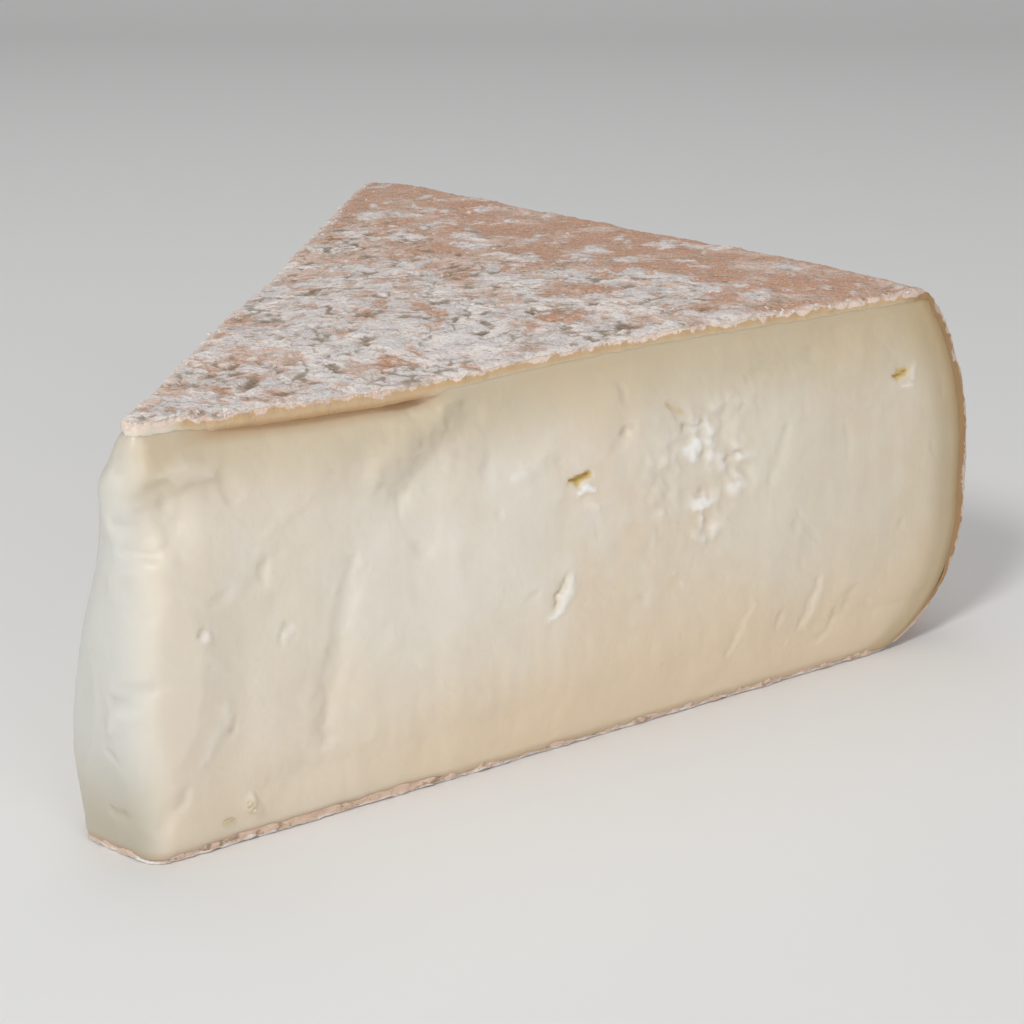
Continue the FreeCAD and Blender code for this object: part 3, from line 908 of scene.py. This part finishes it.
def pasteBody():
    # The paste's smooth body, with what each point needs to know of its place on the cuts.
    looks = pasteLooks
    low = looks["low"]
    cover = looks["under"] * np.linspace(1, 0, looks["coverRows"] + 1)[:-1]
    seen = np.linspace(low, pasteHigh, looks["rows"])
    heights = np.concatenate([low - cover, seen, pasteHigh + cover[::-1]])
    grid, facts = [], []
    for z in heights:
        plan, normals, along, face, around, inner, leftward = pasteRow(min(max(z, 0.3), 39.0))
        top = topHeight(plan[:, 0], plan[:, 1]) - wedge["rind"]
        graded = low + (z - low) * (top - low) / (pasteHigh - low)
        actual = np.where(z < low, z, np.where(z > pasteHigh, top + z - pasteHigh, graded))
        onLeft = np.where(face == 2, along, 0)
        onRight = np.where(face == 2, along[face == 1][0], along)
        lipped = underLip(onRight) * (1 - leftward)
        upright = pasteOut(uprightForms, onRight, actual, lipped)
        leaning = pasteOut(leaningForms, onLeft, actual, 0.3 * smoothStep(3.0, 12.0, onLeft))
        out = upright * (1 - leftward) + leaning * leftward
        flush = smoothStep(0.0, looks["sideFade"], inner)
        beyond = max(z - pasteHigh, low - z)
        hidden = smoothStep(-0.3, -0.08, inner) * (1 - smoothStep(0.06, 0.36, beyond))
        out = (out * flush + looks["lap"] * (1 - flush)) - looks["hidden"] * (1 - hidden)
        grid.append(np.column_stack([plan + normals * out[:, None], actual]))
        fromSide = np.where(face == 3, 0.0, inner)
        nose = smoothStep(4.0, 1.5, around) * smoothStep(-11.0, -7.0, around)
        facts.append(np.stack([around, face, top - actual, actual - low, fromSide, lipped, nose], axis=1))
    count = len(grid[0])
    faces = []
    for r in range(len(grid) - 1):
        for s in range(count):
            a, b = r * count + s, r * count + (s + 1) % count
            faces.append((a, a + count, b + count, b))
    return closeEnds(np.concatenate(grid), np.concatenate(facts), faces, count, len(grid))


def closeEnds(points, facts, faces, count, rows):
    # The hidden top and bottom close over in rings towards the middle, under the rinds.
    looks = pasteLooks
    for start, onTop in ((0, False), ((rows - 1) * count, True)):
        rim = points[start:start + count]
        middle = rim[:, :2].mean(axis=0)
        last = np.arange(start, start + count)
        for share in (*looks["closing"], 1.0):
            plan = rim[:, :2] * (1 - share) + middle * share
            plan = plan[:1] if share == 1 else plan
            height = np.full(len(plan), rim[0, 2])
            if onTop:
                height = skinTop(plan[:, 0], plan[:, 1]) - wedge["rind"] + looks["closingRise"]
            ring = np.arange(len(points), len(points) + len(plan))
            points = np.concatenate([points, np.column_stack([plan, height])])
            facts = np.concatenate([facts, np.zeros((len(plan), facts.shape[1]))])
            if share == 1:
                fresh = [(int(a), int(b), int(ring[0])) for a, b in zip(last, np.roll(last, -1))]
            else:
                fresh = stitch(last, ring)
            faces += [face[::-1] for face in fresh] if onTop else fresh
            last = ring
    return points, dict(zip(factNames, facts.T)), faces


# Finer marks of the upright cut, as strokes from one point to another in distance and height,
# with a half width, a depth and a tint: over 0 is pale curd and under 0 the ochre of an eye, whose darkest
# middle is painted shade.
strokes = [
    (4.4, 34.0, 9.2, 33.6, 1.0, 0.24, 0.3), (6.2, 32.0, 10.4, 32.4, 1.1, -0.14, 0.0),
    (3.5, 32.6, 2.9, 27.6, 1.4, -0.5, 0.0), (1.2, 33.6, 0.8, 30.0, 1.6, 0.32, 0.25),
    (1.2, 28.8, 0.6, 25.0, 1.5, 0.18, 0.1), (5.4, 30.4, 5.0, 26.6, 1.4, 0.2, 0.1),
    (2.0, 25.0, 2.8, 22.6, 0.9, -0.25, 0.0), (32.6, 35.0, 24.6, 30.6, 2.0, 0.42, 0.1),
    (35.6, 34.4, 27.6, 28.4, 2.2, -0.38, 0.0), (22.6, 23.2, 19.1, 7.5, 1.1, -0.2, 0.0),
    (21.0, 21.0, 17.4, 8.5, 1.2, 0.1, 0.0), (15.4, 25.6, 11.8, 22.6, 0.9, -0.1, 0.0),
    (18.2, 29.8, 13.4, 27.0, 0.6, 0.1, 0.1), (9.4, 12.8, 6.6, 8.4, 1.0, 0.12, 0.4),
    (10.0, 11.4, 9.7, 10.6, 0.35, -0.3, -0.2), (11.9, 4.4, 11.6, 3.1, 0.42, 0.5, -0.32),
    (4.9, 6.6, 3.2, 3.6, 0.9, -0.25, 0.0), (7.4, 20.6, 6.7, 20.1, 0.35, -0.28, -0.15),
    (7.0, 19.8, 7.5, 19.6, 0.45, 0.18, 0.5), (15.8, 19.0, 15.3, 17.6, 0.35, -0.22, 0.0),
    (16.2, 18.4, 15.8, 17.4, 0.3, 0.12, 0.3), (3.4, 16.6, 1.4, 15.4, 0.7, -0.35, 0.0),
    (1.6, 14.2, 0.6, 12.4, 0.8, 0.2, 0.2), (0.2, 4.6, -1.2, 4.2, 0.5, -0.25, -0.2),
    (46.6, 26.0, 48.8, 26.6, 0.55, -0.42, -0.85), (46.8, 26.9, 48.4, 27.3, 0.35, 0.12, 0.0),
    (47.4, 25.1, 49.4, 25.5, 0.5, 0.2, 0.95), (48.6, 23.6, 50.0, 23.3, 0.5, 0.16, 0.3),
    (46.0, 17.4, 44.5, 14.4, 0.35, -0.4, -0.35), (46.9, 17.0, 45.4, 14.2, 0.5, 0.16, 0.6),
    (44.9, 14.0, 43.9, 13.6, 0.5, 0.15, 0.8), (89.2, 30.2, 91.4, 30.5, 0.5, -0.42, -0.85),
    (92.3, 30.8, 92.2, 29.8, 0.7, 0.1, 0.4), (92.0, 29.0, 90.6, 28.8, 0.5, 0.12, 0.5),
    (50.4, 36.4, 50.6, 36.9, 0.22, -0.12, -0.7), (79.2, 10.4, 76.8, 5.8, 0.6, -0.14, 0.0),
    (80.1, 10.6, 77.7, 5.8, 0.7, 0.08, 0.3), (69.9, 9.6, 67.2, 4.9, 0.6, 0.07, 0.25),
    (69.2, 9.4, 66.6, 4.9, 0.55, -0.1, 0.0), (84.6, 8.6, 81.0, 4.6, 0.7, -0.14, 0.0),
    (58.6, 31.4, 61.0, 30.2, 0.5, -0.3, -0.35), (60.6, 29.2, 63.4, 29.3, 0.45, -0.4, -0.4),
    (66.0, 25.4, 68.2, 25.6, 0.4, -0.3, -0.35), (62.6, 22.6, 63.8, 22.8, 0.35, -0.25, -0.25),
    (52.6, 29.8, 54.0, 30.2, 0.5, -0.25, 0.1), (40.5, 27.6, 43.6, 29.2, 0.9, 0.18, 0.15),
    (72.0, 22.0, 74.0, 27.0, 1.0, -0.2, 0.0), (75.5, 18.5, 79.0, 14.5, 0.4, -0.1, -0.15),
    (68.8, 33.2, 77.5, 34.2, 0.9, -0.14, 0.0), (14.0, 5.0, 95.0, 5.6, 1.6, -0.12, 0.0),
    (30.9, 10.3, 43.5, 6.4, 0.7, -0.08, 0.0),
]
# Torn patches of curd: distance, height, half widths, depth and tint.
curdPatches = [
    (62.3, 27.4, 3.0, 2.4, 0.55, 1.0), (67.6, 23.8, 2.6, 2.8, 0.4, 0.8),
    (63.0, 21.4, 1.6, 1.2, 0.35, 1.0), (63.8, 18.6, 2.6, 2.2, 0.3, 0.5),
    (66.0, 30.6, 4.0, 2.2, 0.3, 0.25), (60.2, 14.0, 1.4, 1.2, 0.22, 0.7),
    (57.6, 23.4, 2.6, 5.0, 0.3, 0.15),
]


def strokeField(x, z):
    depth, tint = np.zeros_like(x), np.zeros_like(x)
    for ax, az, bx, bz, width, deep, pale in strokes:
        length = math.hypot(bx - ax, bz - az)
        share = np.clip(((x - ax) * (bx - ax) + (z - az) * (bz - az)) / length**2, 0, 1)
        away = np.hypot(x - ax - share * (bx - ax), z - az - share * (bz - az))
        taper = 0.5 + 0.5 * np.sin(math.pi * np.clip(share, 0.05, 0.95))
        shape = np.exp(-((away / (width * taper)) ** 2))
        depth += deep * shape
        tint += pale * shape
    return depth, tint


def fineMarks(points, facts):
    # Depth and tint of the finer marks on the cut faces of the paste, and where it crumbles.
    x, z, face = facts["around"], points[:, 2], facts["face"]
    onCut = face < 2.5
    flat = np.column_stack([x, z, np.zeros_like(x)])
    wobble = np.stack([fractal(flat, 5.0, 2, seed) for seed in (101, 102, 103)], axis=1)
    shake = np.stack([fractal(flat, 1.8, 2, seed) for seed in (111, 112)], axis=1)
    jitter = np.stack([noise(flat, 0.8, seed) for seed in (117, 118)], axis=1)
    shake = 0.5 * shake + 0.22 * jitter
    depth, tint = strokeField(x + shake[:, 0], z + shake[:, 1])
    soft = 0.19 * fractal(flat, 11.0, 3, 104) + 0.05 * noise(flat + wobble, 2.6, 105)
    soft = soft + 0.018 * fractal(flat + wobble * 0.4, 0.9, 2, 114)
    streaks = bump(x - 45, z - 8.5, (14.0, 3.4))
    drawn = (0.02 + 0.06 * streaks) * noise(flat * np.array([1.0, 0.2, 1.0]), 1.5, 106)
    dents = -0.16 * smoothStep(0.5, 0.85, noise(flat + wobble, 3.0, 107))
    grit = smoothStep(0.55, 0.8, noise(flat, 0.8, 115)) * smoothStep(0.1, 0.5, noise(flat, 7.0, 116))
    near, _, _ = cells(flat + wobble * 0.4, 1.5, 108)
    rough = 1.2 * (0.5 - near) + 0.7 * noise(flat, 1.9, 109) + 0.35 * noise(flat, 0.8, 110)
    for middle, height, halfAlong, halfUp, deep, pale in curdPatches:
        area = bump(x - middle, z - height, (halfAlong, halfUp))
        depth = depth + area * deep * rough
        tint = tint + area * pale * smoothStep(-0.35, 0.35, rough)
    crumbly = 2.0 * bump(x - 11.8, z - 3.2, (1.2, 1.0)) + 0.25 * bump(x - 8.5, z - 2.8, (3.5, 1.5))
    crumbly = crumbly + 1.2 * smoothStep(0.55, 0.95, tint) * (depth > 0.02)
    total = depth + soft + drawn + dents - 0.1 * grit
    return [np.where(onCut, values, 0) for values in (total, np.clip(tint, -1, 1), crumbly)]


def buildPaste():
    points, facts, faces = pasteBody()
    depth, tint, crumbly = fineMarks(points, facts)
    for key in ("fromTop", "fromFoot", "fromSide"):
        depth = depth * smoothStep(0.0, pasteLooks["coverFade"], facts[key])
    points = points + vertexNormals(points, faces) * depth[:, None]
    layers = [(key, values) for key, values in facts.items() if key != "face"]
    return makeObject("paste", points, faces, layers + [("tint", tint), ("crumbly", crumbly)])


def pasteSurface(tree, given):
    c = pasteLooks["colours"]
    at = millimetres(tree)
    soft = grain(tree, at, 16.0, 3.0, 0.5, 0.4)
    mottle = grain(tree, at, 3.2, 3.0, 0.55, 0.5)
    fine = grain(tree, at, 0.55, 3.0, 0.6)
    drawn = grain(tree, millimetres(tree, (1000.0, 1000.0, 160.0)), 2.2, 3.0, 0.55, 0.2)
    fromTop, foot, side = (attribute(tree, key) for key in ("fromTop", "fromFoot", "fromSide"))
    around, nose, lipped, tint = (attribute(tree, key) for key in ("around", "nose", "lipped", "tint"))
    warmth = times(tree, between(tree, soft, 0.36, 0.66), between(tree, around, 10.0, 55.0, 0.25, 0.6))
    base = mixColour(tree, warmth, c["ivory"], c["warm"])
    base = addCoats(tree, base, (
        (c["cool"], mottle, 0.5, 0.72, 0.22),
        # Painted shade: the paste darkens and yellows towards the right side of the cut, where the light
        # falls off.
        (c["cream"], around, 48.0, 92.0, 0.36),
    ))
    low = times(tree, between(tree, foot, 17.0, 0.5), between(tree, around, 10.0, 45.0, 0.5, 1.0))
    base = mixColour(tree, low, base, c["warm"])
    # The nose facet gets a cooler grey-white, a painted tone for the cool light it catches, and painted shade
    # darker towards its foot.
    base = mixColour(tree, times(tree, nose, 0.8), base, c["nose"])
    base = mixColour(tree, times(tree, nose, between(tree, foot, 12.0, 0.0)), base, c["shade"])
    # Darker and yellower below the top rind: partly the paste's own softer band under the rind, partly
    # painted shade under the rind's overhang.
    top = plus(tree, fromTop, times(tree, minus(tree, soft, 0.5), 5.0))
    upper = times(tree, between(tree, top, 9.0, 0.8, 0.0, 0.7), between(tree, nose, 0.0, 1.0, 1.0, 0.45))
    base = mixColour(tree, upper, base, c["cream"])
    # Amber along the top edge: faintly all along as the paste's own band, and strongly as painted shadow of
    # the gap where the paste has drawn back under the rind.
    rim = times(tree, between(tree, fromTop, 1.6, 0.0), plus(tree, lipped, 0.15, True))
    base = mixColour(tree, times(tree, rim, 0.85), base, c["amber"])
    base = addCoats(tree, base, (
        (c["side"], side, 8.0, 0.5, 0.8),
        (c["rim"], side, 1.6, -0.2, 0.8),
        (c["amber"], foot, 0.8, -0.1, 0.4),
        (c["curd"], tint, 0.05, 1.0, 1.0),
        (c["eye"], tint, -0.12, -0.5, 1.0),
        # Painted shade at the deepest middle of the eyes.
        (c["hole"], tint, -0.55, -0.85, 1.0),
    ))
    height = weighted(tree, (mottle, 0.6), (fine, 0.12), (drawn, 0.3))
    return {"Color": base, "Height": height, "Roughness": between(tree, mottle, 0.35, 0.7, 0.3, 0.46)}


# Crumbs of crust and grains of curd, scattered over the surface they broke from.
crumbLooks = dict(
    rindFlakes=dict(
        values={"Density": 1.8e6, "Size": 0.00019, "Seed": 5}, bump=(0.0002, 0.6),
        colours={"Light": srgb(232, 222, 212), "Deep": srgb(214, 188, 172)},
    ),
    curdGrains=dict(
        values={"Density": 0.4e6, "Size": 0.00036, "Seed": 6}, bump=(0.0002, 0.4),
        colours={"Light": srgb(238, 222, 184), "Deep": srgb(220, 198, 148)},
    ),
)


def randomVector(tree, low, high, seed):
    inputs = {0: low, 1: high, "Seed": seed}
    return addNode(tree, "FunctionNodeRandomValue", inputs, data_type="FLOAT_VECTOR").outputs[0]


def buildCrumbTree():
    tree = bpy.data.node_groups.new("scatterCrumbs", "GeometryNodeTree")
    face = tree.interface
    face.new_socket("Geometry", in_out="INPUT", socket_type="NodeSocketGeometry")
    for key, kind in (("Density", "Float"), ("Size", "Float"), ("Seed", "Int"), ("Finish", "Material")):
        face.new_socket(key, in_out="INPUT", socket_type="NodeSocket" + kind)
    face.new_socket("Geometry", in_out="OUTPUT", socket_type="NodeSocketGeometry")
    given = addNode(tree, "NodeGroupInput").outputs
    crumbly = addNode(tree, "GeometryNodeInputNamedAttribute", {"Name": "crumbly"}, data_type="FLOAT").outputs
    density = times(tree, crumbly["Attribute"], given["Density"])
    scattered = {"Mesh": given["Geometry"], "Density": density, "Seed": given["Seed"]}
    scatter = addNode(tree, "GeometryNodeDistributePointsOnFaces", scattered).outputs
    lump = addNode(tree, "GeometryNodeMeshIcoSphere", {"Radius": 1.0, "Subdivisions": 2}).outputs["Mesh"]
    push = addNode(tree, "ShaderNodeTexNoise", {"Scale": 1.3, "Detail": 2.0}).outputs["Color"]
    for operation, by in (("SUBTRACT", (0.5, 0.5, 0.5)), ("MULTIPLY", (1.7, 1.7, 1.2))):
        push = addNode(tree, "ShaderNodeVectorMath", {0: push, 1: by}, operation=operation).outputs[0]
    lump = addNode(tree, "GeometryNodeSetPosition", {"Geometry": lump, "Offset": push}).outputs[0]
    turn = {0: scatter["Rotation"], 1: randomVector(tree, (-0.5, -0.5, 0), (0.5, 0.5, 6.28), given["Seed"])}
    turn = addNode(tree, "FunctionNodeRotateRotation", turn, rotation_space="LOCAL").outputs[0]
    size = {0: randomVector(tree, (0.6, 0.5, 0.35), (1.8, 1.4, 0.7), 9), "Scale": given["Size"]}
    size = addNode(tree, "ShaderNodeVectorMath", size, operation="SCALE").outputs[0]
    placed = {"Points": scatter["Points"], "Instance": lump, "Rotation": turn, "Scale": size}
    placed = addNode(tree, "GeometryNodeInstanceOnPoints", placed).outputs[0]
    real = addNode(tree, "GeometryNodeRealizeInstances", {"Geometry": placed}).outputs[0]
    finish = {"Geometry": real, "Material": given["Finish"]}
    finished = addNode(tree, "GeometryNodeSetMaterial", finish).outputs[0]
    addNode(tree, "NodeGroupOutput", {"Geometry": finished})
    return tree


def scatterCrumbs(name, carrier, tree, material):
    # A copy of the carrier grows the crumbs, which are then a plain mesh held inside the box.
    source = place(name + "Source", carrier.data)
    modifier = source.modifiers.new("crumbs", "NODES")
    modifier.node_group = tree
    values = dict(crumbLooks[name]["values"], Finish=material)
    for item in tree.interface.items_tree:
        if item.in_out == "INPUT" and item.name in values:
            modifier[item.identifier] = values[item.name]
    mesh = bpy.data.meshes.new_from_object(source.evaluated_get(bpy.context.evaluated_depsgraph_get()))
    bpy.data.objects.remove(source)
    spots = np.zeros(len(mesh.vertices) * 3)
    mesh.vertices.foreach_get("co", spots)
    spots = np.clip(spots.reshape(-1, 3), np.array(cadLow), np.array(cadHigh))
    mesh.vertices.foreach_set("co", spots.ravel())
    mesh.name = name
    print(name, len(mesh.polygons), "triangles")
    return place(name, mesh)


def crumbSurface(tree, given):
    at = millimetres(tree)
    base = mixColour(tree, between(tree, grain(tree, at, 1.2), 0.4, 0.6), given["Light"], given["Deep"])
    rough = between(tree, grain(tree, at, 0.8), 0.3, 0.7, 0.55, 0.75)
    return {"Color": base, "Height": grain(tree, at, 0.3), "Roughness": rough}


print("paste")
paste = buildPaste()
print("rind")
rind = buildRind()
checkClosed(rind)
checkClosed(paste)

print("looks")
for piece, name, build, looks in (
    (rind, "rindSkin", rindSurface, rindLooks),
    (paste, "pasteBody", pasteSurface, pasteLooks),
):
    group = makeGroup(build.__name__, (), surfaceResults, build)
    piece.data.materials.append(makeMaterial(name, group, looks["finish"], looks["bump"]))

print("crumbs")
pale = srgb(230, 220, 200)
crumbInputs = (("Light", "Color", pale), ("Deep", "Color", pale))
crumbGroup = makeGroup("crumbSurface", crumbInputs, surfaceResults, crumbSurface)
crumbTree = buildCrumbTree()
crumbs = []
for name, carrier, material, finish in (
    ("rindFlakes", rind, "crustCrumb", rindLooks["finish"]),
    ("curdGrains", paste, "curdCrumb", pasteLooks["finish"]),
):
    looks = crumbLooks[name]
    finished = makeMaterial(material, crumbGroup, finish, looks["bump"], looks["colours"])
    crumbs.append(scatterCrumbs(name, carrier, crumbTree, finished))
rindFlakes, curdGrains = crumbs

for piece in (rind, paste):
    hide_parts("cheese_wedge")
for piece, slot in ((rind, "rind"), (paste, "paste"), (rindFlakes, "rind"), (curdGrains, "paste")):
    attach(piece, "root")

# The camera's place is in the wedge's own millimetres, and the floor is turned with it.
viewLooks = dict(at=(-79.6, -154.4, 81.0), yaw=math.radians(37.8), pitch=math.radians(16.16), lens=79.1)
stageLooks = dict(
    size=2.4, backHeight=0.9, bendRadius=0.35, bendSteps=12,
    finish={"Base Color": (0.82, 0.81, 0.79, 1), "Roughness": 0.7},
)
lampLooks = dict(
    key=dict(at=(-0.66, -0.36, 0.6), size=0.2, power=4.15, colour=(0.98, 0.99, 1.0)),
    fill=dict(at=(-0.2, -0.95, 0.36), size=0.5, power=2.3, colour=(1.0, 0.97, 0.93)),
    top=dict(at=(0.1, 0.25, 0.95), size=0.8, power=1.6, colour=(1.0, 1.0, 1.0)),
)
worldLooks = {"Color": (0.86, 0.88, 0.92, 1), "Strength": 0.36}
lampAim = Vector((0, 0, 0.02))


def buildStage():
    # A floor that curves up into a backdrop, far behind the wedge.
    half, radius, steps = stageLooks["size"] / 2, stageLooks["bendRadius"], stageLooks["bendSteps"]
    profile = [(-half, 0.0), (half - radius, 0.0)]
    for n in range(1, steps + 1):
        turn = math.pi / 2 * n / steps
        profile.append((half - radius + radius * math.sin(turn), radius - radius * math.cos(turn)))
    profile.append((half, stageLooks["backHeight"]))
    yaw = -viewLooks["yaw"]
    verts = []
    for across in (-half, half):
        for along, up in profile:
            x = across * math.cos(yaw) - along * math.sin(yaw)
            y = across * math.sin(yaw) + along * math.cos(yaw)
            verts.append((x, y, up))
    n = len(profile)
    faces = [(i, i + n, i + n + 1, i + 1) for i in range(n - 1)]
    mesh = bpy.data.meshes.new("floor")
    mesh.from_pydata(verts, [], faces)
    mesh.polygons.foreach_set("use_smooth", np.ones(len(faces), dtype=bool))
    mesh.materials.append(plainMaterial("floorPaint", stageLooks["finish"])[0])
    place("floor", mesh)


def addLamp(name, looks):
    data = bpy.data.lights.new(name, "AREA")
    data.shape = "DISK"
    data.size = looks["size"]
    data.energy = looks["power"]
    data.color = looks["colour"]
    lamp = place(name, data)
    lamp.location = looks["at"]
    aim(lamp, lampAim - Vector(looks["at"]))


def addCamera():
    yaw, pitch = viewLooks["yaw"], viewLooks["pitch"]
    lookAlong = (math.sin(yaw) * math.cos(pitch), math.cos(yaw) * math.cos(pitch), -math.sin(pitch))
    data = bpy.data.cameras.new("camera")
    data.sensor_width = 36.0
    data.lens = viewLooks["lens"]
    data.clip_start = 0.01
    data.clip_end = 20.0
    camera = place("camera", data)
    camera.location = (np.array(viewLooks["at"]) + rowShift) / 1000
    aim(camera, Vector(lookAlong))
    bpy.context.scene.camera = camera


print("stage, lamps and camera")
buildStage()
for name, looks in lampLooks.items():
    addLamp(name, looks)
world = bpy.data.worlds.new("studio")
bpy.context.scene.world = world
world.use_nodes = True
for key, value in worldLooks.items():
    world.node_tree.nodes["Background"].inputs[key].default_value = value
bpy.context.scene.view_settings.view_transform = "Standard"
addCamera()
